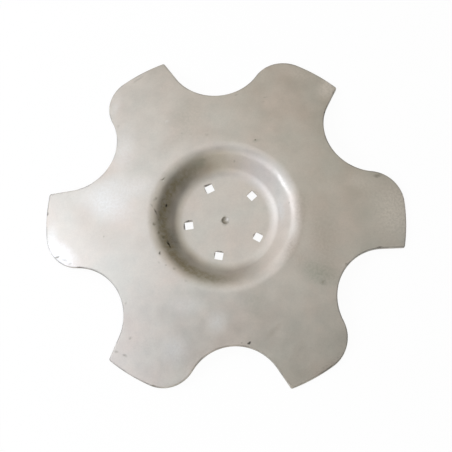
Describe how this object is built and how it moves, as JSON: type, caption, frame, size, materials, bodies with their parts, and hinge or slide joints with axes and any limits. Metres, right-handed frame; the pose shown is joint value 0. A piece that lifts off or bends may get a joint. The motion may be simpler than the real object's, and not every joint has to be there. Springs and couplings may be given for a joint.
{
  "type": "harrow disc blade",
  "caption": "Dished disc blade with scalloped lobes round the rim, a pressed central cup and square bolt holes in its flat hub plate.",
  "frame": {"origin": "on the disc's axis, in the plane that its tips rest on", "axes": "+Z along the disc's axis, out of the convex side and the cup; +X to the right and +Y up as the picture shows the disc"},
  "size_m": [0.56, 0.5214, 0.0368],
  "materials": {
    "blade_steel": "dull bare steel with a light oxide haze"
  },
  "bodies": {
    "root": {"disc_blade": "blade_steel"}
  },
  "joints": []
}
